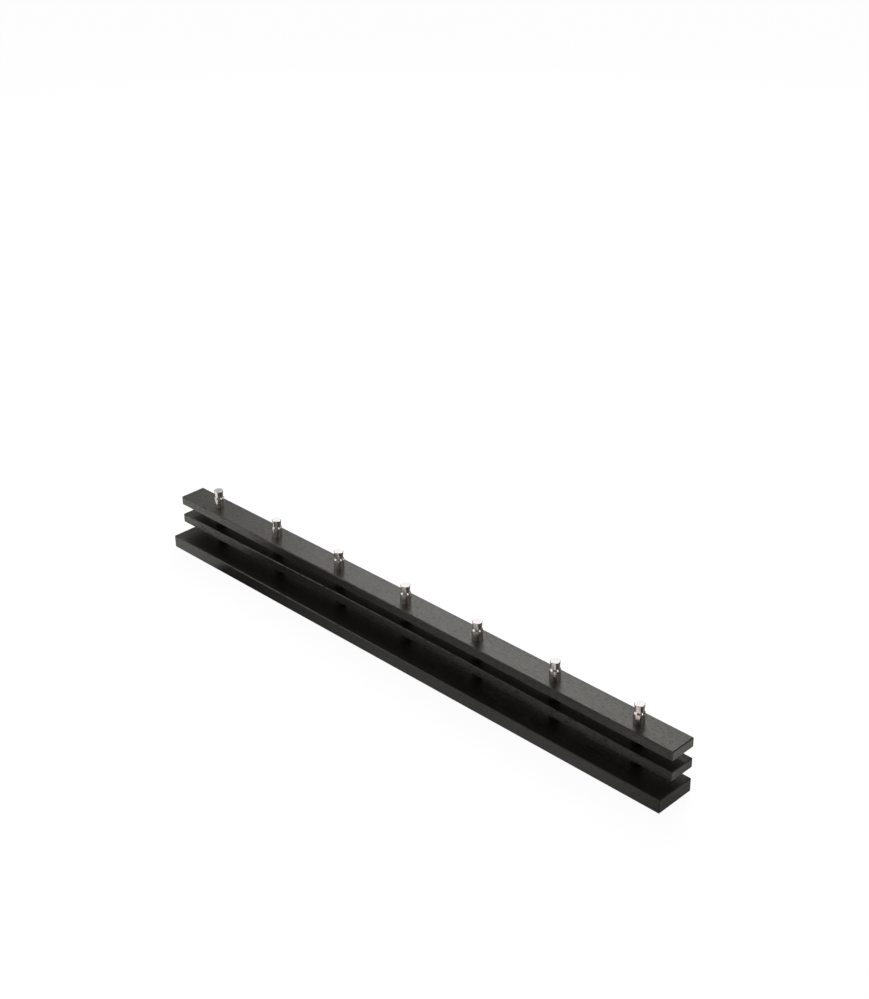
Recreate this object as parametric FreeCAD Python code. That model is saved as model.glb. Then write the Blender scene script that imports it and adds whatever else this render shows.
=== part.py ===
"""Wall coat rack: a wide wall board and two narrower slats, held apart by spacer sleeves, with turned steel pegs.

The rack lies on its back as it would on a table. X runs along the rack, Y across it and Z out from the wall.
The origin is the centre of the wall board's back. The two slats and the board are flush along the +Y edge,
which is the top edge when the rack hangs. Under each peg one long bolt comes in from a counterbore at the back,
runs through the board, a spacer, the middle slat, a spacer and the front slat, and screws up into the peg.
Two keyhole hangers are let into the back, their slots towards the top edge.
"""
import FreeCAD, Part
import math
import os

# Board and slats
rack_length = 1000.0
board_width = 66.0
board_thick = 21.0
slat_width = 44.0
slat_thick = 15.0
slat_gap = 17.0
edge_ease = 1.2

# Sideways spring of each slat at mid length, the way the wood has moved since it was cut
middle_spring = 4.5
front_spring = 1.4

# Turned pegs
peg_count = 7
peg_end_margin = 71.5
peg_dia = 16.0
peg_neck_dia = 13.0
peg_head_dia = 14.6
peg_shaft_height = 15.0
peg_shoulder_height = 2.5
peg_head_height = 11.0
peg_rim_ease = 0.6
peg_bore_spare = 1.6

# Spacer sleeves between the slats
spacer_dia = 16.0

# Long bolts with their washers
bolt_dia = 6.0
bolt_head_dia = 10.0
bolt_head_height = 6.0
bolt_socket_flats = 5.0
bolt_socket_depth = 3.0
bolt_grip_in_peg = 11.4
bolt_hole_clearance = 0.3
thread_clearance = 0.05
washer_dia = 12.0
washer_thick = 1.6
washer_clearance = 0.2
counterbore_dia = 13.0
counterbore_depth = 8.0

# Keyhole hangers let into the back
hanger_bay = 2.5
hanger_width = 16.0
hanger_length = 46.0
hanger_thick = 2.0
hanger_setback = 0.3
hanger_clearance = 0.25
hanger_screw_spacing = 34.0
keyhole_entry_dia = 9.0
keyhole_slot_width = 4.5
keyhole_travel = 9.0
keyhole_head_room = 6.0
keyhole_side_room = 1.0

# Countersunk wood screws that hold the hangers
screw_dia = 3.5
screw_head_dia = 6.8
screw_length = 12.0
screw_point_length = 3.0
screw_cross_width = 0.9
screw_cross_reach = 1.9
screw_cross_depth = 0.9
screw_fit_clearance = 0.05

# Worked out from the sizes above
flush_y = board_width / 2
peg_y = flush_y - slat_width / 2
peg_pitch = (rack_length - 2 * peg_end_margin) / (peg_count - 1)
middle_z = board_thick + slat_gap
front_z = middle_z + slat_thick + slat_gap
front_face_z = front_z + slat_thick
peg_height = peg_shaft_height + peg_shoulder_height + peg_head_height
bolt_seat_z = counterbore_depth - washer_thick
bolt_tip_z = front_face_z + bolt_grip_in_peg
bolt_hole_dia = bolt_dia + 2 * bolt_hole_clearance
hanger_floor_z = hanger_setback + hanger_thick

Z_AXIS = FreeCAD.Vector(0, 0, 1)


def vec(x, y, z):
    """A point in the rack's frame."""
    return FreeCAD.Vector(x, y, z)


def peg_places():
    """Centre of each peg along the rack, from the left end to the right end."""
    first = -rack_length / 2 + peg_end_margin
    return [first + i * peg_pitch for i in range(peg_count)]


def hanger_places():
    """The two hangers sit midway between pegs, the same distance either side of the middle."""
    return [-hanger_bay * peg_pitch, hanger_bay * peg_pitch]


def rod(dia, low_z, high_z, x, y):
    """Upright round bar between two heights."""
    return Part.makeCylinder(dia / 2, high_z - low_z, vec(x, y, low_z), Z_AXIS)


def turned(points, x, y, z):
    """Solid of revolution about an upright axis from straight (radius, height) points."""
    outline = Part.makePolygon([vec(r, 0, h) for r, h in points + points[:1]])
    solid = Part.Face(outline).revolve(vec(0, 0, 0), Z_AXIS, 360)
    solid.translate(vec(x, y, z))
    return solid


def long_edge(side_y, spring):
    """One long edge of a slat: both ends lie along X and the middle stands off sideways by the spring."""
    if spring == 0:
        return Part.makeLine(vec(-rack_length / 2, side_y, 0), vec(rack_length / 2, side_y, 0))
    curve = Part.BSplineCurve()
    stations = [vec(-rack_length / 2, side_y, 0), vec(0, side_y + spring, 0), vec(rack_length / 2, side_y, 0)]
    along = vec(rack_length, 0, 0)
    curve.interpolate(Points=stations, InitialTangent=along, FinalTangent=along)
    return curve.toShape()


def timber(width, thick, low_z, spring):
    """Length of planed timber, flush at the +Y edge at its ends, with every edge eased."""
    near = long_edge(flush_y - width, spring)
    far = long_edge(flush_y, spring)
    ends = []
    for x in (-rack_length / 2, rack_length / 2):
        ends.append(Part.makeLine(vec(x, flush_y - width, 0), vec(x, flush_y, 0)))
    outline = Part.Wire(Part.__sortEdges__([near, ends[1], far, ends[0]]))
    solid = Part.Face(outline).extrude(vec(0, 0, thick))
    solid = solid.makeChamfer(edge_ease, solid.Edges)
    solid.translate(vec(0, 0, low_z))
    return solid


def slat(low_z, spring):
    """Narrow slat with a plain hole for each bolt, on the straight line of the pegs."""
    holes = [rod(bolt_hole_dia, low_z - 1, low_z + slat_thick + 1, x, peg_y) for x in peg_places()]
    return timber(slat_width, slat_thick, low_z, spring).cut(holes)


def obround(width, length, low_z, high_z, x, y):
    """Upright block with half-round ends, its length along Y and centred on (x, y)."""
    half = (length - width) / 2
    block = Part.makeBox(width, 2 * half, high_z - low_z, vec(x - width / 2, y - half, low_z))
    block = block.fuse([rod(width, low_z, high_z, x, y - half), rod(width, low_z, high_z, x, y + half)])
    return block.removeSplitter()


def keyhole_entry_y():
    """The round entry lies below the plate's middle, so that entry and slot together are centred."""
    return -keyhole_travel / 2


def hanger_screw_ys():
    """Places of the two wood screws along a hanger."""
    return [-hanger_screw_spacing / 2, hanger_screw_spacing / 2]


def hanger_pocket(x):
    """Recess for one hanger: a shallow bed for the plate and a deeper channel for the wall screw's head."""
    bed_width = hanger_width + 2 * hanger_clearance
    bed_length = hanger_length + 2 * hanger_clearance
    bed = obround(bed_width, bed_length, -1, hanger_floor_z, x, 0)
    channel_width = keyhole_entry_dia + 2 * keyhole_side_room
    channel_length = keyhole_travel + channel_width
    channel = obround(channel_width, channel_length, -1, hanger_floor_z + keyhole_head_room, x, 0)
    return bed.fuse(channel)


def pilot_hole(x, y):
    """Hole that takes one wood screw, with a pointed end."""
    r = screw_dia / 2 + screw_fit_clearance
    low = hanger_floor_z - 1
    point_z = hanger_setback + screw_length + screw_fit_clearance
    body_z = point_z - screw_point_length
    return turned([(0, low), (r, low), (r, body_z), (0, point_z)], x, y, 0)


def wall_board():
    """Wide board that lies against the wall, counterbored at the back under each peg."""
    board = timber(board_width, board_thick, 0, 0)
    tools = []
    for x in peg_places():
        tools.append(rod(bolt_hole_dia, -1, board_thick + 1, x, peg_y))
        tools.append(rod(counterbore_dia, -1, counterbore_depth, x, peg_y))
    for x in hanger_places():
        tools.append(hanger_pocket(x))
        for y in hanger_screw_ys():
            tools.append(pilot_hole(x, y))
    return board.cut(tools)


def peg(x):
    """Turned peg: straight shaft, a shoulder in to the neck, then a hollow-sided head out to the rim."""
    r = peg_dia / 2
    neck = peg_neck_dia / 2
    rim = peg_head_dia / 2
    bore = bolt_dia / 2 + thread_clearance
    bore_top = bolt_grip_in_peg + peg_bore_spare
    neck_z = peg_shaft_height + peg_shoulder_height
    rim_z = peg_height - peg_rim_ease
    # The head's side is one arc, upright where it leaves the neck and leaning out to the rim
    out = rim - neck
    rise = rim_z - neck_z
    sweep_radius = (out * out + rise * rise) / (2 * out)
    half_turn = math.asin(rise / sweep_radius) / 2
    centre_x = neck + sweep_radius
    middle = vec(centre_x - sweep_radius * math.cos(half_turn), 0, neck_z + sweep_radius * math.sin(half_turn))
    edges = [
        Part.makeLine(vec(0, 0, bore_top), vec(bore, 0, bore_top)),
        Part.makeLine(vec(bore, 0, bore_top), vec(bore, 0, 0)),
        Part.makeLine(vec(bore, 0, 0), vec(r, 0, 0)),
        Part.makeLine(vec(r, 0, 0), vec(r, 0, peg_shaft_height)),
        Part.makeLine(vec(r, 0, peg_shaft_height), vec(neck, 0, neck_z)),
        Part.Arc(vec(neck, 0, neck_z), middle, vec(rim, 0, rim_z)).toShape(),
        Part.makeLine(vec(rim, 0, rim_z), vec(rim - peg_rim_ease, 0, peg_height)),
        Part.makeLine(vec(rim - peg_rim_ease, 0, peg_height), vec(0, 0, peg_height)),
        Part.makeLine(vec(0, 0, peg_height), vec(0, 0, bore_top)),
    ]
    solid = Part.Face(Part.Wire(edges)).revolve(vec(0, 0, 0), Z_AXIS, 360)
    solid.translate(vec(x, peg_y, front_face_z))
    return solid


def spacer(x, low_z):
    """Round sleeve on the bolt that keeps two pieces of timber the gap apart."""
    outer = spacer_dia / 2
    inner = bolt_hole_dia / 2
    return turned([(inner, 0), (outer, 0), (outer, slat_gap), (inner, slat_gap)], x, peg_y, low_z)


def hexagon(flats, low_z, high_z, x, y):
    """Upright six-sided bar, given the width across its flats."""
    corner = flats / 2 / math.cos(math.pi / 6)
    points = []
    for i in range(7):
        a = i * math.pi / 3
        points.append(vec(x + corner * math.cos(a), y + corner * math.sin(a), low_z))
    return Part.Face(Part.makePolygon(points)).extrude(vec(0, 0, high_z - low_z))


def bolt(x):
    """Long bolt with a round socket head; its head points out of the back."""
    shank = bolt_dia / 2
    head = bolt_head_dia / 2
    low = bolt_seat_z - bolt_head_height
    outline = [
        (0, low),
        (head, low),
        (head, bolt_seat_z),
        (shank, bolt_seat_z),
        (shank, bolt_tip_z),
        (0, bolt_tip_z),
    ]
    socket = hexagon(bolt_socket_flats, low - 1, low + bolt_socket_depth, x, peg_y)
    return turned(outline, x, peg_y, 0).cut(socket)


def washer(x):
    """Flat washer under a bolt's head, on the floor of the counterbore."""
    disc = rod(washer_dia, bolt_seat_z, counterbore_depth, x, peg_y)
    hole = rod(bolt_dia + 2 * washer_clearance, bolt_seat_z - 1, counterbore_depth + 1, x, peg_y)
    return disc.cut(hole)


def screw_head_depth():
    """Depth of a wood screw's right-angled countersunk head."""
    return (screw_head_dia - screw_dia) / 2


def hanger(x):
    """Steel plate with round ends, a keyhole in the middle and two countersunk screw holes."""
    plate = obround(hanger_width, hanger_length, hanger_setback, hanger_floor_z, x, 0)
    low = hanger_setback - 1
    high = hanger_floor_z + 1
    entry_y = keyhole_entry_y()
    slot_corner = vec(x - keyhole_slot_width / 2, entry_y, low)
    tools = [rod(keyhole_entry_dia, low, high, x, entry_y)]
    tools.append(Part.makeBox(keyhole_slot_width, keyhole_travel, high - low, slot_corner))
    tools.append(rod(keyhole_slot_width, low, high, x, entry_y + keyhole_travel))
    for y in hanger_screw_ys():
        r = screw_dia / 2 + screw_fit_clearance
        top = screw_head_dia / 2 + screw_fit_clearance
        sink = [(0, low), (top, low), (top, hanger_setback)]
        sink += [(r, hanger_setback + top - r), (r, high), (0, high)]
        tools.append(turned(sink, x, y, 0))
    return plate.cut(tools)


def wood_screw(x, y):
    """Countersunk wood screw, head flush with the hanger, with a cross recess."""
    r = screw_dia / 2
    face = hanger_setback
    tip = face + screw_length
    outline = [
        (0, face),
        (screw_head_dia / 2, face),
        (r, face + screw_head_depth()),
        (r, tip - screw_point_length),
        (0, tip),
    ]
    body = turned(outline, x, y, 0)
    wide = 2 * screw_cross_reach
    low = face - 1
    deep = screw_cross_depth + 1
    bars = [
        Part.makeBox(wide, screw_cross_width, deep, vec(x - screw_cross_reach, y - screw_cross_width / 2, low)),
        Part.makeBox(screw_cross_width, wide, deep, vec(x - screw_cross_width / 2, y - screw_cross_reach, low)),
    ]
    return body.cut(bars)


def build():
    """Every piece of the rack by its name."""
    pieces = {
        "wall_board": wall_board(),
        "middle_slat": slat(middle_z, middle_spring),
        "front_slat": slat(front_z, front_spring),
    }
    for i, x in enumerate(peg_places(), start=1):
        pieces["peg_%d" % i] = peg(x)
        pieces["rear_spacer_%d" % i] = spacer(x, board_thick)
        pieces["front_spacer_%d" % i] = spacer(x, middle_z + slat_thick)
    pieces["peg_bolts"] = Part.makeCompound([bolt(x) for x in peg_places()])
    pieces["bolt_washers"] = Part.makeCompound([washer(x) for x in peg_places()])
    for side, x in zip(("left", "right"), hanger_places()):
        pieces["keyhole_hanger_" + side] = hanger(x)
    screws = [wood_screw(x, y) for x in hanger_places() for y in hanger_screw_ys()]
    pieces["hanger_screws"] = Part.makeCompound(screws)
    return pieces


os.makedirs("parts", exist_ok=True)
for name, shape in build().items():
    shape.exportStep("parts/%s.step" % name)
    print("%-22s solids %d  valid %s  volume %.1f mm3" % (name, len(shape.Solids), shape.isValid(), shape.Volume))
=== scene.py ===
import math

import bpy
import numpy as np
from mathutils import Matrix, Vector


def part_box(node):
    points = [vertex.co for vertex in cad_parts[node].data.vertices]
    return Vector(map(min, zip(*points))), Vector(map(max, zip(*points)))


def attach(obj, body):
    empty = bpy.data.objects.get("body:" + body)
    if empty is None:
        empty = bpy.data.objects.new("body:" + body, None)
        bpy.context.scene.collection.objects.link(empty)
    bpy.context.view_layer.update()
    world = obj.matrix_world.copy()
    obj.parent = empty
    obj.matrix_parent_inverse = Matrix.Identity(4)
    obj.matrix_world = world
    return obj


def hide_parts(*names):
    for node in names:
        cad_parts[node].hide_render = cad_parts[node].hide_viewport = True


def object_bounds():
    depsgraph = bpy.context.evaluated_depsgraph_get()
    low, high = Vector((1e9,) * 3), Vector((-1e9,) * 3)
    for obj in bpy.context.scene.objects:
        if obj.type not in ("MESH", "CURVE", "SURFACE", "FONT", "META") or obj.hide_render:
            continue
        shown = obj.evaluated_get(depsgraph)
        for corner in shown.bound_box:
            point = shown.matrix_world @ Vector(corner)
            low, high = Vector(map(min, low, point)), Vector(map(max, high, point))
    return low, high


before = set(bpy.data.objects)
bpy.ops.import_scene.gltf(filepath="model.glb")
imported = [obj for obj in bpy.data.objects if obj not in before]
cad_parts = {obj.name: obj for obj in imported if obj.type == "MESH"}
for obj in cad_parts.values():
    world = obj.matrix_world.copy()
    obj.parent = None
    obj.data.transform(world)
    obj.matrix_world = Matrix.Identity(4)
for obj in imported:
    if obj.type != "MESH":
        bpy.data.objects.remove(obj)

solid_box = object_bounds()

MM = 0.001
BODY = "root"
PEG_COUNT = 7

# Turned peg, besides its shaft's radius and its height, which come from the frame
PEG_NECK_RADIUS = 6.5 * MM
PEG_RIM_RADIUS = 7.3 * MM
PEG_SHAFT_HEIGHT = 15.0 * MM
PEG_SHOULDER_HEIGHT = 2.5 * MM
PEG_RIM_BEVEL = 0.6 * MM
PEG_BORE_RADIUS = 3.05 * MM
PEG_BORE_DEPTH = 13.0 * MM
PEG_BORE_ROUND = 0.1 * MM
PEG_FOOT_ROUND = 0.3 * MM
PEG_SHOULDER_ROUND = 0.4 * MM
PEG_NECK_ROUND = 0.5 * MM
PEG_BEVEL_ROUND = 0.35 * MM
# Faces whose normals rise more than this are the ones polished to a mirror
POLISHED_RISE = 0.25

# Spacer sleeve, besides its radius and height
SPACER_BORE_RADIUS = 3.3 * MM
SPACER_BORE_ROUND = 0.2 * MM
SPACER_ROUND = 0.4 * MM

# Fineness of the turned pieces, and the share of the hollow side's arc that is left to the rounds at each end
TURN_STEPS = 128
ROUND_STEPS = 6
HOLLOW_STEPS = 18
HOLLOW_MARGIN = 0.06

# The camera, as fitted to the photograph: where it looks from, and how far its axis passes from the origin
PICTURE_WIDTH = 869
PICTURE_HEIGHT = 999
VIEW_AZIMUTH = 45.266
VIEW_ELEVATION = 27.978
VIEW_ROLL = -1.014
VIEW_DISTANCE = 2.4137
VIEW_ASIDE = 0.04795
VIEW_ABOVE = 0.22653
FOCAL_PIXELS = 1645.0
SENSOR_LONG_SIDE = 36.0

# Studio surfaces; the curtain goes round from one azimuth to another, in degrees
FLOOR_SIDE = 16.0
FLOOR_GAP = 0.1 * MM
CURTAIN_RADIUS = 3.6
CURTAIN_HEIGHT = 3.4
CURTAIN_AZIMUTHS = (-15, 100)
CURTAIN_STEPS = 40
FLAG_X = (-0.7, 0.6)
FLAG_Y = (0.055, 0.22)
FLAG_Z = 0.095

# Painted light and the rack's painted shadow that shiny things mirror of the floor: places along X, each with
# its radiance, 1 being plain white, and the middle line of the strip that the rack's own faces mirror
PAINTED_FLOOR_STOPS = (
    (-0.64, 1.9), (-0.52, 1.32), (-0.45, 1.12), (-0.41, 0.88), (-0.385, 0.09), (-0.32, 0.06), (-0.25, 0.18),
    (-0.12, 0.38), (0.0, 0.58), (0.14, 0.62), (0.27, 0.70), (0.38, 0.79), (0.47, 0.55), (0.51, 0.31),
    (0.53, 0.55), (0.57, 1.5), (0.61, 1.5), (0.70, 0.22), (0.95, 0.08),
)
STRIP_Y = -0.03

# Lamps: how far off most of them stand, how high cards lie, and what the lamps face if it isn't the origin,
# which is the slats' near edges at the left or the front slat's face right of the middle
LAMP_DISTANCE = 3.0
CARD_Z = 0.001
NEAR_EDGES = (-0.25, 0, 0.05)
SLAT_FACE = (0.18, 0, 0.085)


def colour(code):
    """Linear colour of an sRGB hex code."""
    parts = [int(code[i : i + 2], 16) / 255 for i in (1, 3, 5)]
    linear = [c / 12.92 if c <= 0.04045 else ((c + 0.055) / 1.055) ** 2.4 for c in parts]
    return (*linear, 1.0)


def direction(azimuth, elevation):
    """Unit vector towards an azimuth (0 at -Y, 90 at +X) and an elevation, in degrees."""
    a = math.radians(azimuth)
    e = math.radians(elevation)
    return Vector((math.sin(a) * math.cos(e), -math.cos(a) * math.cos(e), math.sin(e)))


def node(tree, kind, inputs=None, stops=(), **settings):
    """Adds a shader node with its settings.

    Each input is a number, a colour or a socket to link from. The stops of a colour ramp are positions with
    their colours, in rising order.
    """
    made = tree.nodes.new("ShaderNode" + kind)
    for key, value in settings.items():
        setattr(made, key, value)
    for key, value in (inputs or {}).items():
        if isinstance(value, bpy.types.NodeSocket):
            tree.links.new(value, made.inputs[key])
        else:
            made.inputs[key].default_value = value
    # A new ramp already has its first and last stop
    for position, _ in stops[1:-1]:
        made.color_ramp.elements.new(position)
    for i, (position, shade) in enumerate(stops):
        made.color_ramp.elements[i].position = position
        made.color_ramp.elements[i].color = shade
    return made


def new_material(name):
    """Empty node material with its output node."""
    material = bpy.data.materials.new(name)
    material.use_nodes = True
    material.node_tree.nodes.clear()
    return material, material.node_tree, node(material.node_tree, "OutputMaterial")


def cell(*sizes_mm):
    """Mapping scale that makes one unit of a pattern as long as each size, in millimetres."""
    return tuple(1 / (size * MM) for size in sizes_mm)


def stained_timber(name, pith_y, pith_z, coarseness=1.0):
    """Ash planed, sanded, stained black and sealed with a satin lacquer.

    The stain leaves almost no colour, so the eye sees the lacquer's soft reflection, broken by open pores
    along the grain and by slightly browner growth rings. Rings are circles round a pith line along X, outside
    the piece, given in millimetres. More coarseness makes pores and fibres stand out more, as on a piece that
    was sanded less.
    """
    material, tree, output = new_material(name)
    place = node(tree, "TexCoord").outputs["Object"]
    # Growth rings are 3.4 mm apart and wander over lengths of 300 mm; the pattern has one every pi / 10 units
    ring_unit = 3.4 / (math.pi / 10)
    ring_scale = cell(300, ring_unit, ring_unit)
    ring_place = node(tree, "Mapping", {
        "Vector": place,
        "Location": (0, -pith_y * MM * ring_scale[1], -pith_z * MM * ring_scale[2]),
        "Scale": ring_scale,
    })
    rings = node(tree, "TexWave", {
        "Vector": ring_place.outputs[0],
        "Scale": 1.0,
        "Distortion": 5.0,
        "Detail": 2.0,
        "Detail Scale": 0.6,
    }, wave_type="RINGS", rings_direction="X")
    # Fibre bundles are about 0.3 mm wide; they are drawn 0.9 mm wide so that they show from a step away
    fibre_place = node(tree, "Mapping", {"Vector": place, "Scale": cell(38, 0.9, 0.9)})
    fibres = node(tree, "TexNoise", {"Vector": fibre_place.outputs[0], "Scale": 1.0, "Detail": 3.0})
    # Open pores are 0.2 mm wide dashes; they are drawn 1 mm wide and about 7 mm long so that they show
    pore_place = node(tree, "Mapping", {"Vector": place, "Scale": cell(7, 1.0, 1.0)})
    pores = node(tree, "TexNoise", {"Vector": pore_place.outputs[0], "Scale": 1.0, "Detail": 2.0})
    pore_mask = node(tree, "MapRange", {"Value": pores.outputs["Fac"], "From Min": 0.54, "From Max": 0.68})
    # Broad patches where the sanding and the lacquer came out a little different
    patch_place = node(tree, "Mapping", {"Vector": place, "Scale": cell(70, 18, 18)})
    patches = node(tree, "TexNoise", {"Vector": patch_place.outputs[0], "Scale": 1.0, "Detail": 2.0})

    tone = node(tree, "Mix", {0: 0.6, 2: rings.outputs["Fac"], 3: fibres.outputs["Fac"]})
    wood = node(tree, "ValToRGB", {"Fac": tone.outputs[0]},
                stops=[(0.25, colour("#0e0d0b")), (0.8, colour("#1e1b15"))])
    # The colour sockets of a Mix node are its seventh and eighth inputs and its third output
    pored = node(tree, "Mix", {0: pore_mask.outputs[0], 6: wood.outputs["Color"], 7: colour("#070605")},
                 data_type="RGBA")

    gloss = node(tree, "Mix", {0: 0.5, 2: fibres.outputs["Fac"], 3: patches.outputs["Fac"]})
    sealed = node(tree, "MapRange", {"Value": gloss.outputs[0], "From Min": 0.3, "From Max": 0.7,
                                     "To Min": 0.26, "To Max": 0.34})
    # The lacquer sinks into the pores, which stay dull
    roughness = node(tree, "Math", {0: pore_mask.outputs[0], 1: 0.3, 2: sealed.outputs[0]},
                     operation="MULTIPLY_ADD")
    pore_bump = node(tree, "Bump", {"Height": pore_mask.outputs[0], "Distance": 0.03 * MM}, invert=True)
    fibre_bump = node(tree, "Bump", {"Height": fibres.outputs["Fac"], "Distance": 0.04 * MM,
                                     "Normal": pore_bump.outputs[0]})
    patch_bump = node(tree, "Bump", {"Height": patches.outputs["Fac"], "Distance": 0.04 * MM,
                                     "Normal": fibre_bump.outputs[0]})
    # Pores also swallow part of the light, so they are darker than the wood round them from every side
    spread = 0.06 * coarseness
    sheen = node(tree, "MapRange", {"Value": fibres.outputs["Fac"], "From Min": 0.3, "From Max": 0.7,
                                    "To Min": 0.5 - spread, "To Max": 0.5 + spread})
    specular = node(tree, "Math", {0: pore_mask.outputs[0], 1: -0.16 * coarseness, 2: sheen.outputs[0]},
                    operation="MULTIPLY_ADD")
    shader = node(tree, "BsdfPrincipled", {
        "Base Color": pored.outputs[2],
        "Roughness": roughness.outputs[0],
        "Specular IOR Level": specular.outputs[0],
        "Normal": patch_bump.outputs[0],
        "IOR": 1.44,
        "Specular Tint": colour("#fffdf2"),
    })
    tree.links.new(shader.outputs[0], output.inputs["Surface"])
    return material


def turned_steel():
    """Stainless steel, turned and lightly polished, with fine lathe lines round it and a few wipe marks.

    The lines smear what the peg mirrors along its axis, so the eye sees soft upright streaks on its side.
    """
    material, tree, output = new_material("turned_stainless_steel")
    place = node(tree, "TexCoord").outputs["Object"]
    turned = node(tree, "UVMap", uv_map="turning").outputs[0]
    # Lathe lines go round the piece: long along the turn (U), 0.25 mm apart along the profile (V, in metres)
    line_place = node(tree, "Mapping", {"Vector": turned, "Scale": (3.0, 1 / (0.25 * MM), 1.0)})
    lines = node(tree, "TexNoise", {"Vector": line_place.outputs[0], "Scale": 1.0, "Detail": 2.0})
    wipe_place = node(tree, "Mapping", {"Vector": place, "Scale": cell(5, 5, 5)})
    wipes = node(tree, "TexNoise", {"Vector": wipe_place.outputs[0], "Scale": 1.0, "Detail": 3.0})
    roughness = node(tree, "MapRange", {"Value": wipes.outputs["Fac"], "From Min": 0.35, "From Max": 0.7,
                                        "To Min": 0.15, "To Max": 0.19})
    line_bump = node(tree, "Bump", {"Height": lines.outputs["Fac"], "Distance": 0.002 * MM})
    shader = node(tree, "BsdfPrincipled", {
        "Base Color": colour("#d8d0ca"),
        "Metallic": 1.0,
        "Roughness": roughness.outputs[0],
        "Anisotropic": 1.0,
        "Anisotropic Rotation": 0.25,
        "Tangent": node(tree, "Tangent", direction_type="UV_MAP", uv_map="turning").outputs[0],
        "Normal": line_bump.outputs[0],
    })
    tree.links.new(shader.outputs[0], output.inputs["Surface"])
    return material


def polished_steel():
    """The same steel, its lathe lines polished out, on the top, its bevel and the shoulder: a mirror."""
    material, tree, output = new_material("polished_stainless_steel")
    place = node(tree, "TexCoord").outputs["Object"]
    wipe_place = node(tree, "Mapping", {"Vector": place, "Scale": cell(4, 4, 4)})
    wipes = node(tree, "TexNoise", {"Vector": wipe_place.outputs[0], "Scale": 1.0, "Detail": 3.0})
    roughness = node(tree, "MapRange", {"Value": wipes.outputs["Fac"], "From Min": 0.35, "From Max": 0.7,
                                        "To Min": 0.07, "To Max": 0.13})
    shader = node(tree, "BsdfPrincipled", {
        "Base Color": colour("#c9c4c4"),
        "Metallic": 1.0,
        "Roughness": roughness.outputs[0],
    })
    tree.links.new(shader.outputs[0], output.inputs["Surface"])
    return material


def black_sleeve():
    """Black nylon tube, cut to length: dull, with faint saw lines across it."""
    material, tree, output = new_material("black_nylon_tube")
    place = node(tree, "TexCoord").outputs["Object"]
    line_place = node(tree, "Mapping", {"Vector": place, "Scale": cell(9, 9, 0.4)})
    lines = node(tree, "TexNoise", {"Vector": line_place.outputs[0], "Scale": 1.0, "Detail": 2.0})
    tone = node(tree, "ValToRGB", {"Fac": lines.outputs["Fac"]},
                stops=[(0.3, colour("#080808")), (0.75, colour("#121110"))])
    line_bump = node(tree, "Bump", {"Height": lines.outputs["Fac"], "Distance": 0.03 * MM})
    shader = node(tree, "BsdfPrincipled", {
        "Base Color": tone.outputs["Color"],
        "Roughness": 0.6,
        "Normal": line_bump.outputs[0],
        "IOR": 1.3,
    })
    tree.links.new(shader.outputs[0], output.inputs["Surface"])
    return material


def zinc_plated_steel():
    """Bright zinc plate on steel: silvery, slightly blue, with a cloudy, half-dull sheen."""
    material, tree, output = new_material("zinc_plated_steel")
    place = node(tree, "TexCoord").outputs["Object"]
    cloud_place = node(tree, "Mapping", {"Vector": place, "Scale": cell(4, 4, 4)})
    clouds = node(tree, "TexNoise", {"Vector": cloud_place.outputs[0], "Scale": 1.0, "Detail": 4.0})
    tone = node(tree, "ValToRGB", {"Fac": clouds.outputs["Fac"]},
                stops=[(0.35, colour("#a3a8ad")), (0.7, colour("#c3c7cb"))])
    roughness = node(tree, "MapRange", {"Value": clouds.outputs["Fac"], "From Min": 0.3, "From Max": 0.7,
                                        "To Min": 0.24, "To Max": 0.42})
    shader = node(tree, "BsdfPrincipled", {
        "Base Color": tone.outputs["Color"],
        "Metallic": 1.0,
        "Roughness": roughness.outputs[0],
    })
    tree.links.new(shader.outputs[0], output.inputs["Surface"])
    return material


def rounded_corner(before, corner, after, radius):
    """Points and outward normals of the arc that rounds a corner of a profile.

    The arc touches both lines at radius times the tangent of half the turn from the corner; its points go in
    equal angles from one touching point to the other. The material lies left of the direction of travel.
    """
    into = (corner - before) / np.linalg.norm(corner - before)
    out = (after - corner) / np.linalg.norm(after - corner)
    turn = math.atan2(into[0] * out[1] - into[1] * out[0], float(into @ out))
    touch = corner - into * radius * math.tan(abs(turn) / 2)
    side = math.copysign(1.0, turn)
    right = np.array([into[1], -into[0]])
    centre = touch - right * side * radius
    angles = np.linspace(0, turn, ROUND_STEPS)
    cosines = np.cos(angles)
    sines = np.sin(angles)
    normals = np.stack([right[0] * cosines - right[1] * sines, right[0] * sines + right[1] * cosines], 1)
    return centre + normals * side * radius, normals


def straight_profile(corners, radii):
    """Points and normals of straight lines from corner to corner, rounded at each but the first and last."""
    corners = [np.array(c, float) for c in corners]
    points = []
    normals = []
    for before, corner, after, radius in zip(corners, corners[1:], corners[2:], radii):
        arc, arc_normals = rounded_corner(before, corner, after, radius)
        points.append(arc)
        normals.append(arc_normals)
    return np.concatenate(points), np.concatenate(normals)


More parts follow.
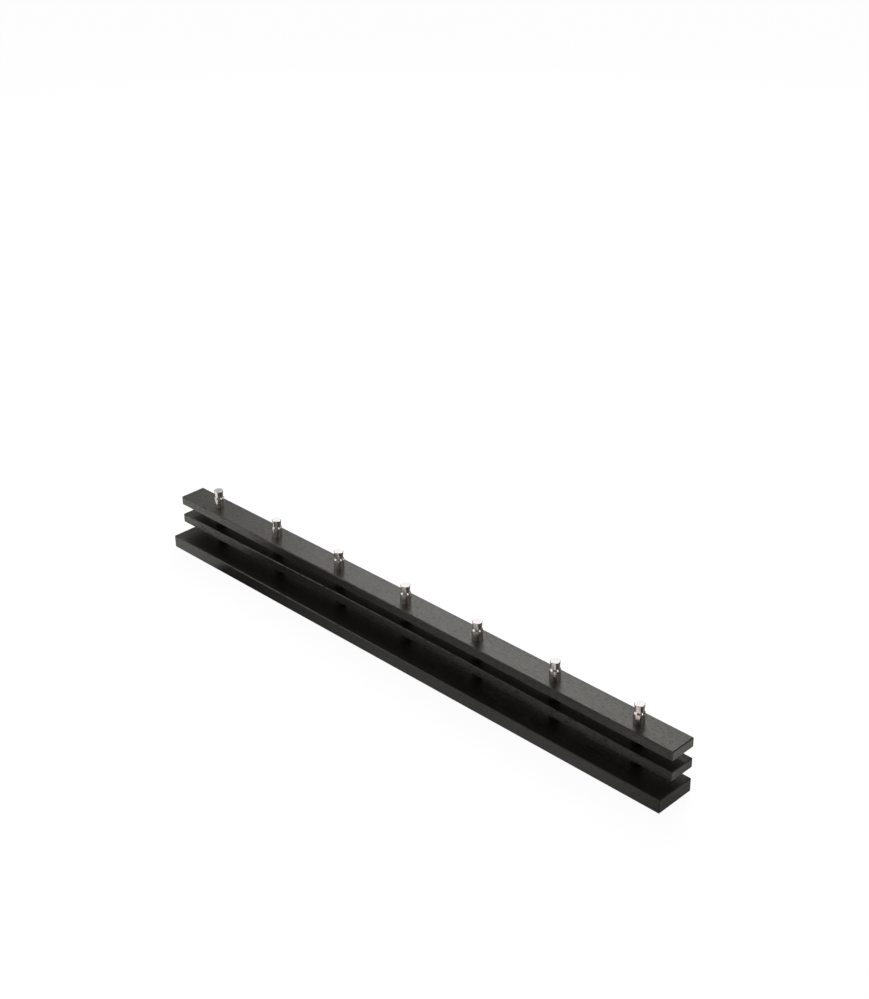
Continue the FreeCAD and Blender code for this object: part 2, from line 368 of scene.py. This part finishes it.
def turned_piece(name, points, normals, place, ends):
    """Surface of revolution about an upright axis through a place.

    Each profile point (radius, height) goes round the axis: x is radius times the cosine of the turn, y
    radius times its sine, z the height. Ends are the heights of two points on the axis that close the first
    and the last ring; without them, the last ring joins the first. U is the turn and V the length along the
    profile.
    """
    rings = len(points)
    turn = np.arange(TURN_STEPS) * 2 * math.pi / TURN_STEPS
    wheel = np.stack([np.cos(turn), np.sin(turn)], 1)
    flat = points[:, None, :1] * wheel[None]
    heights = np.broadcast_to(points[:, None, 1:], (rings, TURN_STEPS, 1))
    vertices = np.concatenate([flat, heights], 2).reshape(-1, 3)
    flat_normals = normals[:, None, :1] * wheel[None]
    normal_heights = np.broadcast_to(normals[:, None, 1:], (rings, TURN_STEPS, 1))
    vertex_normals = np.concatenate([flat_normals, normal_heights], 2).reshape(-1, 3)

    # Quads from ring to ring, with U and V of their corners
    number = np.arange(rings * TURN_STEPS).reshape(rings, TURN_STEPS)
    along = np.concatenate([[0], np.cumsum(np.linalg.norm(np.diff(points, axis=0), axis=1))])
    around = np.arange(TURN_STEPS) / TURN_STEPS
    step = 1 / TURN_STEPS
    rows = np.arange(rings - 1) if ends else np.arange(rings)
    above = rows + 1 if ends else (rows + 1) % rings
    ahead = np.roll(number, -1, axis=1)
    quads = np.stack([number[rows], ahead[rows], ahead[above], number[above]], 2).reshape(-1, 4)
    low_v = np.broadcast_to(along[rows, None], (len(rows), TURN_STEPS))
    closing = along[-1] + np.linalg.norm(points[0] - points[-1])
    high_v = np.broadcast_to(np.append(along, closing)[rows + 1, None], (len(rows), TURN_STEPS))
    u = np.broadcast_to(around, (len(rows), TURN_STEPS))
    quad_uv = np.stack([
        np.stack([u, low_v], 2),
        np.stack([u + step, low_v], 2),
        np.stack([u + step, high_v], 2),
        np.stack([u, high_v], 2),
    ], 2).reshape(-1, 2)
    faces = quads.tolist()
    uv = [quad_uv]
    # A fan of triangles round each point on the axis
    if ends:
        first_pole = len(vertices)
        poles = np.array([[0, 0, ends[0]], [0, 0, ends[1]]])
        vertices = np.concatenate([vertices, poles])
        pole_normals = np.array([[0, 0, math.copysign(1, n)] for n in normals[[0, -1], 1]])
        vertex_normals = np.concatenate([vertex_normals, pole_normals])
        pole = np.full(TURN_STEPS, first_pole)
        faces += np.stack([pole, ahead[0], number[0]], 1).tolist()
        faces += np.stack([number[-1], ahead[-1], pole + 1], 1).tolist()
        start_v = -points[0, 0]
        end_v = along[-1] + points[-1, 0]
        fan = np.stack([around + step / 2, np.full(TURN_STEPS, start_v)], 1)
        ahead_uv = np.stack([around + step, np.zeros(TURN_STEPS)], 1)
        here_uv = np.stack([around, np.zeros(TURN_STEPS)], 1)
        uv.append(np.stack([fan, ahead_uv, here_uv], 1).reshape(-1, 2))
        rise = np.array([0, along[-1]])
        last = np.stack([around + step / 2, np.full(TURN_STEPS, end_v)], 1)
        uv.append(np.stack([here_uv + rise, ahead_uv + rise, last], 1).reshape(-1, 2))

    mesh = bpy.data.meshes.new(name)
    mesh.from_pydata((vertices + np.array(place)).tolist(), [], faces)
    mesh.uv_layers.new(name="turning").data.foreach_set("uv", np.concatenate(uv).astype(np.float32).ravel())
    mesh.shade_smooth()
    mesh.normals_split_custom_set_from_vertices(vertex_normals.tolist())
    piece = bpy.data.objects.new(name, mesh)
    bpy.context.scene.collection.objects.link(piece)
    return piece


def peg_profile(radius, height):
    """Bore, foot, straight shaft, shoulder, neck, and the hollow side of the head out to a bevelled rim.

    The hollow side is one arc, upright where it leaves the neck: with the step out s and the rise h, its
    radius is (s squared + h squared) / 2s, and its centre lies outside the peg, level with the neck.
    """
    neck_z = PEG_SHAFT_HEIGHT + PEG_SHOULDER_HEIGHT
    rim_z = height - PEG_RIM_BEVEL
    step_out = PEG_RIM_RADIUS - PEG_NECK_RADIUS
    rise = rim_z - neck_z
    sweep = (step_out**2 + rise**2) / (2 * step_out)
    sweep_angle = math.asin(rise / sweep)
    lower = [
        (0, PEG_BORE_DEPTH),
        (PEG_BORE_RADIUS, PEG_BORE_DEPTH),
        (PEG_BORE_RADIUS, 0),
        (radius, 0),
        (radius, PEG_SHAFT_HEIGHT),
        (PEG_NECK_RADIUS, neck_z),
        (PEG_NECK_RADIUS, neck_z + rise / 2),
    ]
    lower_rounds = [PEG_BORE_ROUND, PEG_BORE_ROUND, PEG_FOOT_ROUND, PEG_SHOULDER_ROUND, PEG_NECK_ROUND]
    lower_points, lower_normals = straight_profile(lower, lower_rounds)
    angles = np.linspace(sweep_angle * HOLLOW_MARGIN, sweep_angle * (1 - HOLLOW_MARGIN), HOLLOW_STEPS)
    centre = np.array([PEG_NECK_RADIUS + sweep, neck_z])
    hollow_normals = np.stack([np.cos(angles), -np.sin(angles)], 1)
    hollow_points = centre - sweep * hollow_normals
    lean = np.array([math.sin(sweep_angle), math.cos(sweep_angle)])
    rim = np.array([PEG_RIM_RADIUS, rim_z])
    upper = [rim - lean * PEG_RIM_BEVEL, rim, (PEG_RIM_RADIUS - PEG_RIM_BEVEL, height), (0, height)]
    upper_points, upper_normals = straight_profile(upper, [PEG_BEVEL_ROUND, PEG_BEVEL_ROUND])
    points = np.concatenate([lower_points, hollow_points, upper_points])
    normals = np.concatenate([lower_normals, hollow_normals, upper_normals])
    return points, normals


def spacer_profile(radius, height):
    """Closed outline of a sleeve: down its bore, out along the foot, up the side and in along the top."""
    bore = SPACER_BORE_RADIUS
    corners = [(bore, 0), (radius, 0), (radius, height), (bore, height)]
    around = [corners[-1], *corners, corners[0]]
    return straight_profile(around, [SPACER_BORE_ROUND, SPACER_ROUND, SPACER_ROUND, SPACER_BORE_ROUND])


def foot_and_size(name):
    """Foot centre, radius and height of an upright round node."""
    low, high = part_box(name)
    foot = ((low.x + high.x) / 2, (low.y + high.y) / 2, low.z)
    return foot, (high.x - low.x) / 2, high.z - low.z


def stand_in(piece, name, slot, *materials):
    """Puts a turned piece in the place of a node, with its finishes."""
    for material in materials:
        piece.data.materials.append(material)
    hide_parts(name)
    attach(piece, BODY)


def add_pegs(side, faces):
    """The seven turned pegs: one finish for their sides, another for every face that looks upwards."""
    for i in range(1, PEG_COUNT + 1):
        name = "peg_%d" % i
        foot, radius, height = foot_and_size(name)
        points, normals = peg_profile(radius, height)
        piece = turned_piece("turned_peg_%d" % i, points, normals, foot, (PEG_BORE_DEPTH, height))
        stand_in(piece, name, "polished_steel", side, faces)
        polygons = piece.data.polygons
        upwards = np.empty(3 * len(polygons), np.float32)
        polygons.foreach_get("normal", upwards)
        polygons.foreach_set("material_index", (upwards[2::3] > POLISHED_RISE).astype(np.int32))


def add_spacers(material):
    """The sleeves in both gaps under each peg."""
    for side in ("rear", "front"):
        for i in range(1, PEG_COUNT + 1):
            name = "%s_spacer_%d" % (side, i)
            foot, radius, height = foot_and_size(name)
            points, normals = spacer_profile(radius, height)
            piece = turned_piece("%s_sleeve_%d" % (side, i), points, normals, foot, None)
            stand_in(piece, name, "black_sleeve", material)


def dress(name, material):
    """Gives a node its finish."""
    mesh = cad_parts[name].data
    mesh.materials.clear()
    mesh.materials.append(material)


def white_share(tree, to_camera, to_mirror):
    """Share of plain white: one value for camera rays, one for mirror and see-through rays, else nought."""
    path = node(tree, "LightPath")
    mirrored = node(tree, "Math", {0: path.outputs["Is Glossy Ray"], 1: path.outputs["Is Transmission Ray"]},
                    operation="MAXIMUM")
    dimmed = node(tree, "Math", {0: mirrored.outputs[0], 1: to_mirror}, operation="MULTIPLY")
    return node(tree, "Math", {0: path.outputs["Is Camera Ray"], 1: to_camera, 2: dimmed.outputs[0]},
                operation="MULTIPLY_ADD").outputs[0]


def painted_floor_reflection(tree):
    """What lacquer and steel mirror of the floor: painted light past the left end, the rack's painted shadow
    from there on.

    The painted shadow pales towards the right end, and it gets darker past both long sides. Past the right
    end lies painted light again.
    paper again.
    """
    low = PAINTED_FLOOR_STOPS[0][0]
    high = PAINTED_FLOOR_STOPS[-1][0]
    brightest = max(radiance for _, radiance in PAINTED_FLOOR_STOPS)
    stops = []
    for x, radiance in PAINTED_FLOOR_STOPS:
        value = radiance / brightest
        stops.append(((x - low) / (high - low), (value, value, value, 1.0)))
    place = node(tree, "SeparateXYZ", {0: node(tree, "TexCoord").outputs["Object"]})
    along = node(tree, "MapRange", {"Value": place.outputs["X"], "From Min": low, "From Max": high})
    # A ramp along X paints the light and the rack's shadow that shiny things mirror of the floor
    tone = node(tree, "ValToRGB", {"Fac": along.outputs[0]}, stops=stops)
    # The strip of floor that the rack's own faces mirror is 0.16 m wide; past it only the pegs' sides look
    middle = node(tree, "Math", {0: place.outputs["Y"], 1: STRIP_Y}, operation="SUBTRACT")
    aside = node(tree, "Math", {0: middle.outputs[0]}, operation="ABSOLUTE")
    strip = node(tree, "MapRange", {"Value": aside.outputs[0], "From Min": 0.076, "From Max": 0.090,
                                    "To Min": brightest, "To Max": 0.1 * brightest})
    # The front slat mirrors the strip's border, where the painted shadow is paler
    border = node(tree, "MapRange", {"Value": aside.outputs[0], "From Min": 0.038, "From Max": 0.056,
                                     "To Min": 1.0, "To Max": 1.25})
    cloth_and_painted_shadow = node(tree, "Math", {0: strip.outputs[0], 1: border.outputs[0]}, operation="MULTIPLY")
    # Past the right end the painted light is twice as wide
    past_end = node(tree, "MapRange", {"Value": place.outputs["X"], "From Min": 0.48, "From Max": 0.50})
    painted_light_past_end = node(tree, "MapRange", {"Value": aside.outputs[0], "From Min": 0.19, "From Max": 0.25,
                                    "To Min": brightest, "To Max": 0.15 * brightest})
    right_end = node(tree, "Math", {0: past_end.outputs[0], 1: painted_light_past_end.outputs[0]}, operation="MULTIPLY")
    strength = node(tree, "Math", {0: cloth_and_painted_shadow.outputs[0], 1: right_end.outputs[0]}, operation="MAXIMUM")
    return node(tree, "Emission", {"Color": tone.outputs["Color"], "Strength": strength.outputs[0]})


def add_surface(name, vertices, faces, material, only_mirrored):
    """Surface of the studio. One that is only mirrored isn't seen itself and gives no light or shadow."""
    mesh = bpy.data.meshes.new(name)
    mesh.from_pydata(vertices, [], faces)
    mesh.materials.append(material)
    surface = bpy.data.objects.new(name, mesh)
    surface.visible_camera = not only_mirrored
    surface.visible_diffuse = not only_mirrored
    surface.visible_shadow = not only_mirrored
    bpy.context.scene.collection.objects.link(surface)
    return surface


def level_rectangle(x_ends, y_ends, z):
    """Corners and the only face of a level rectangle."""
    (left, right), (near, far) = x_ends, y_ends
    return [(left, near, z), (right, near, z), (right, far, z), (left, far, z)], [(0, 1, 2, 3)]


def add_floor():
    """White paper floor: seen straight on it is white, and it keeps a faint part of the rack's shadow."""
    material, tree, output = new_material("white_paper_floor")
    lit = node(tree, "BsdfDiffuse", {"Color": colour("#fafafa")})
    white = node(tree, "Emission", {"Color": (1, 1, 1, 1), "Strength": 1.02})
    share = white_share(tree, to_camera=0.92, to_mirror=0.0)
    direct = node(tree, "MixShader", {0: share, 1: lit.outputs[0], 2: white.outputs[0]})
    # What shiny things mirror of the floor is painted light and the rack's painted shadow
    mirror_share = white_share(tree, to_camera=0.0, to_mirror=0.93)
    mirrored = painted_floor_reflection(tree)
    mixed = node(tree, "MixShader", {0: mirror_share, 1: direct.outputs[0], 2: mirrored.outputs[0]})
    tree.links.new(mixed.outputs[0], output.inputs["Surface"])
    ends = (-FLOOR_SIDE / 2, FLOOR_SIDE / 2)
    corners, faces = level_rectangle(ends, ends, solid_box[0].z - FLOOR_GAP)
    floor = add_surface("floor", corners, faces, material, only_mirrored=False)


def add_surroundings():
    """White backdrop all round for what is seen directly, and an even, softer light for everything else.

    What is mirrored of the backdrop gets darker down to the horizon, less so behind the rack, and it has a
    dark doorway at the right.
    """
    world = bpy.data.worlds.new("white_studio")
    world.use_nodes = True
    tree = world.node_tree
    tree.nodes.clear()
    backdrop = node(tree, "Background", {"Color": (1, 1, 1, 1), "Strength": 1.0})
    fill = node(tree, "Background", {"Color": (1, 1, 1, 1), "Strength": 0.6})
    looking = node(tree, "TexCoord").outputs["Generated"]
    way = node(tree, "SeparateXYZ", {0: looking})
    steepness = node(tree, "Math", {0: way.outputs["Z"]}, operation="ABSOLUTE")
    height = node(tree, "MapRange", {"Value": steepness.outputs[0], "From Min": 0.12, "From Max": 0.42,
                                     "To Min": 0.15, "To Max": 0.71})
    behind = node(tree, "MapRange", {"Value": way.outputs["Y"], "From Min": 0.3, "From Max": 0.8,
                                     "To Min": 0.0, "To Max": 0.3})
    brighter = node(tree, "Math", {0: height.outputs[0], 1: behind.outputs[0]}, operation="MAXIMUM")
    # The doorway lies behind the rack, low down, and gives the pegs their dark right edges
    towards_door = node(tree, "VectorMath", {0: looking, 1: direction(150, -6)}, operation="DOT_PRODUCT")
    door = node(tree, "MapRange", {"Value": towards_door.outputs["Value"], "From Min": 0.6, "From Max": 0.8,
                                   "To Min": 1.0, "To Max": 0.3})
    strength = node(tree, "Math", {0: brighter.outputs[0], 1: door.outputs[0]}, operation="MULTIPLY")
    mirrored = node(tree, "Background", {"Color": (1, 1, 1, 1), "Strength": strength.outputs[0]})
    direct_share = white_share(tree, to_camera=1.0, to_mirror=0.0)
    direct = node(tree, "MixShader", {0: direct_share, 1: fill.outputs[0], 2: backdrop.outputs[0]})
    mirror_share = white_share(tree, to_camera=0.0, to_mirror=1.0)
    mixed = node(tree, "MixShader", {0: mirror_share, 1: direct.outputs[0], 2: mirrored.outputs[0]})
    output = node(tree, "OutputWorld")
    tree.links.new(mixed.outputs[0], output.inputs["Surface"])
    bpy.context.scene.world = world


def add_lamp(name, centre, facing, width, height, radiance, scatters=True, mirrors=True, tint="#ffffff"):
    """Rectangular lamp that faces a direction, level along its width; 1 is the radiance of plain white."""
    lamp = bpy.data.lights.new(name, "AREA")
    lamp.color = colour(tint)[:3]
    lamp.shape = "RECTANGLE"
    lamp.size = width
    lamp.size_y = height
    lamp.energy = radiance * math.pi * width * height
    lamp_object = bpy.data.objects.new(name, lamp)
    lamp_object.location = centre
    lamp_object.rotation_euler = (-Vector(facing)).to_track_quat("Z", "Y").to_euler()
    lamp_object.visible_camera = False
    lamp_object.visible_diffuse = scatters
    lamp_object.visible_glossy = mirrors
    bpy.context.scene.collection.objects.link(lamp_object)


def add_far_lamp(name, azimuth, elevation, width, height, radiance, target=(0, 0, 0), **shows):
    """Lamp that faces a target from far off, at an azimuth and an elevation seen from there."""
    way = direction(azimuth, elevation)
    add_lamp(name, Vector(target) + LAMP_DISTANCE * way, -way, width, height, radiance, **shows)


def add_card(name, x, y, width, depth, radiance, tint="#ffffff"):
    """Bright card that lies face up on the floor and only shows in shiny things."""
    add_lamp(name, (x, y, CARD_Z), (0, 0, 1), width, depth, radiance, scatters=False, tint=tint)


def add_curtain():
    """Dark curtain behind the camera, an upright arc round the rack, which only shiny things show.

    Its points go round an upright axis at one radius: x is the radius times the sine of the azimuth, y minus
    the radius times its cosine.
    """
    material, tree, output = new_material("dark_brown_curtain")
    place = node(tree, "TexCoord").outputs["Object"]
    fold_place = node(tree, "Mapping", {"Vector": place, "Scale": (2.2, 2.2, 0.0)})
    folds = node(tree, "TexNoise", {"Vector": fold_place.outputs[0], "Scale": 1.0, "Detail": 3.0})
    tone = node(tree, "ValToRGB", {"Fac": folds.outputs["Fac"]},
                stops=[(0.42, colour("#4e4541")), (0.60, colour("#b0a19b"))])
    cloth_and_painted_shadow = node(tree, "Emission", {"Color": tone.outputs["Color"], "Strength": 1.0})
    tree.links.new(cloth_and_painted_shadow.outputs[0], output.inputs["Surface"])
    azimuths = np.radians(np.linspace(*CURTAIN_AZIMUTHS, CURTAIN_STEPS))
    round_points = CURTAIN_RADIUS * np.stack([np.sin(azimuths), -np.cos(azimuths)], 1)
    low = np.column_stack([round_points, np.zeros(CURTAIN_STEPS)])
    high = np.column_stack([round_points, np.full(CURTAIN_STEPS, CURTAIN_HEIGHT)])
    number = np.arange(CURTAIN_STEPS - 1)
    faces = np.stack([number, number + 1, number + 1 + CURTAIN_STEPS, number + CURTAIN_STEPS], 1)
    vertices = np.concatenate([low, high])
    curtain = add_surface("curtain", vertices.tolist(), faces.tolist(), material, only_mirrored=True)


def add_flag():
    """Grey card, level, behind the rack and a little above the front slat, which only shiny things show.

    It keeps the bright backdrop out of what the slats mirror through the gaps between them.
    """
    material, tree, output = new_material("dark_grey_card")
    card = node(tree, "Emission", {"Color": colour("#a8a8a8"), "Strength": 1.0})
    tree.links.new(card.outputs[0], output.inputs["Surface"])
    corners, faces = level_rectangle(FLAG_X, FLAG_Y, FLAG_Z)
    flag = add_surface("flag", corners, faces, material, only_mirrored=True)


def add_camera():
    """Camera of the photograph: it looks from an azimuth and an elevation, and is rolled about its axis."""
    roll = math.radians(VIEW_ROLL)
    back = direction(VIEW_AZIMUTH, VIEW_ELEVATION)
    level = direction(VIEW_AZIMUTH + 90, 0)
    upright = back.cross(level)
    right = level * math.cos(roll) + upright * math.sin(roll)
    up = upright * math.cos(roll) - level * math.sin(roll)
    data = bpy.data.cameras.new("camera")
    data.sensor_width = SENSOR_LONG_SIDE
    data.lens = FOCAL_PIXELS * SENSOR_LONG_SIDE / max(PICTURE_WIDTH, PICTURE_HEIGHT)
    camera = bpy.data.objects.new("camera", data)
    turn = Matrix((right, up, back)).transposed().to_4x4()
    spot = back * VIEW_DISTANCE + right * VIEW_ASIDE + up * VIEW_ABOVE
    camera.matrix_world = Matrix.Translation(spot) @ turn
    bpy.context.scene.collection.objects.link(camera)
    bpy.context.scene.camera = camera


add_pegs(turned_steel(), polished_steel())
add_spacers(black_sleeve())
dress("wall_board", stained_timber("black_stained_ash_board", pith_y=60, pith_z=-70))
dress("middle_slat", stained_timber("black_stained_ash_middle", pith_y=-35, pith_z=-20, coarseness=2.2))
dress("front_slat", stained_timber("black_stained_ash_front", pith_y=80, pith_z=10))
zinc = zinc_plated_steel()
for hardware in ("peg_bolts", "bolt_washers", "keyhole_hanger_left", "keyhole_hanger_right", "hanger_screws"):
    dress(hardware, zinc)

add_floor()
add_surroundings()
add_curtain()
add_flag()
# The softbox stands where all pegs' tops but the left one mirror it to the camera. A brighter lamp above it
# and one below reach only the satin lacquer, which scatters them on to the camera, most of all to the right
add_far_lamp("softbox", 224, 33, width=1.5, height=1.4, radiance=0.85, target=SLAT_FACE)
add_far_lamp("high_softbox", 220, 50, width=1.2, height=0.8, radiance=6.0, target=SLAT_FACE)
add_far_lamp("low_strip", 221, 17, width=1.2, height=0.5, radiance=5.2, target=SLAT_FACE, scatters=False)
# Lamps that only show in shiny things. The left one draws a line along the near edges, and an upright card in
# front and a lamp at the back right whiten the sides of the pegs' shoulders
add_far_lamp("left_strip", -54, 33, width=0.9, height=0.8, radiance=2.2, target=NEAR_EDGES, scatters=False)
add_lamp("front_card", (-0.42, -0.5, 0.20), (0, 1, 0), width=1.56, height=0.22, radiance=1.0, scatters=False)
add_far_lamp("right_strip", 168, 18, width=1.4, height=1.2, radiance=1.4, scatters=False)
# The right ends' upper edges mirror the next one, and the window draws a pale line down every shaft
add_far_lamp("end_strip", 140, 46, width=1.0, height=0.8, radiance=3.2, scatters=False)
add_far_lamp("window", 95, 29, width=0.55, height=1.5, radiance=2.1, scatters=False)
# The rosy card draws a line down the right heads; the pegs near the ends mirror the papers in front of them
add_card("rosy_card", 0.42, -0.142, width=0.16, depth=0.05, radiance=1.4, tint="#f4dedc")
add_card("left_paper", -0.50, -0.172, width=0.20, depth=0.12, radiance=0.9)
add_card("right_paper", 0.61, -0.172, width=0.22, depth=0.12, radiance=1.2, tint="#fbeeec")
# The key lamp only scatters: it gives the rack's shadow on the floor
add_far_lamp("key", 205, 36, width=1.4, height=1.4, radiance=9.0, mirrors=False)
add_camera()
bpy.context.scene.view_settings.view_transform = "Standard"
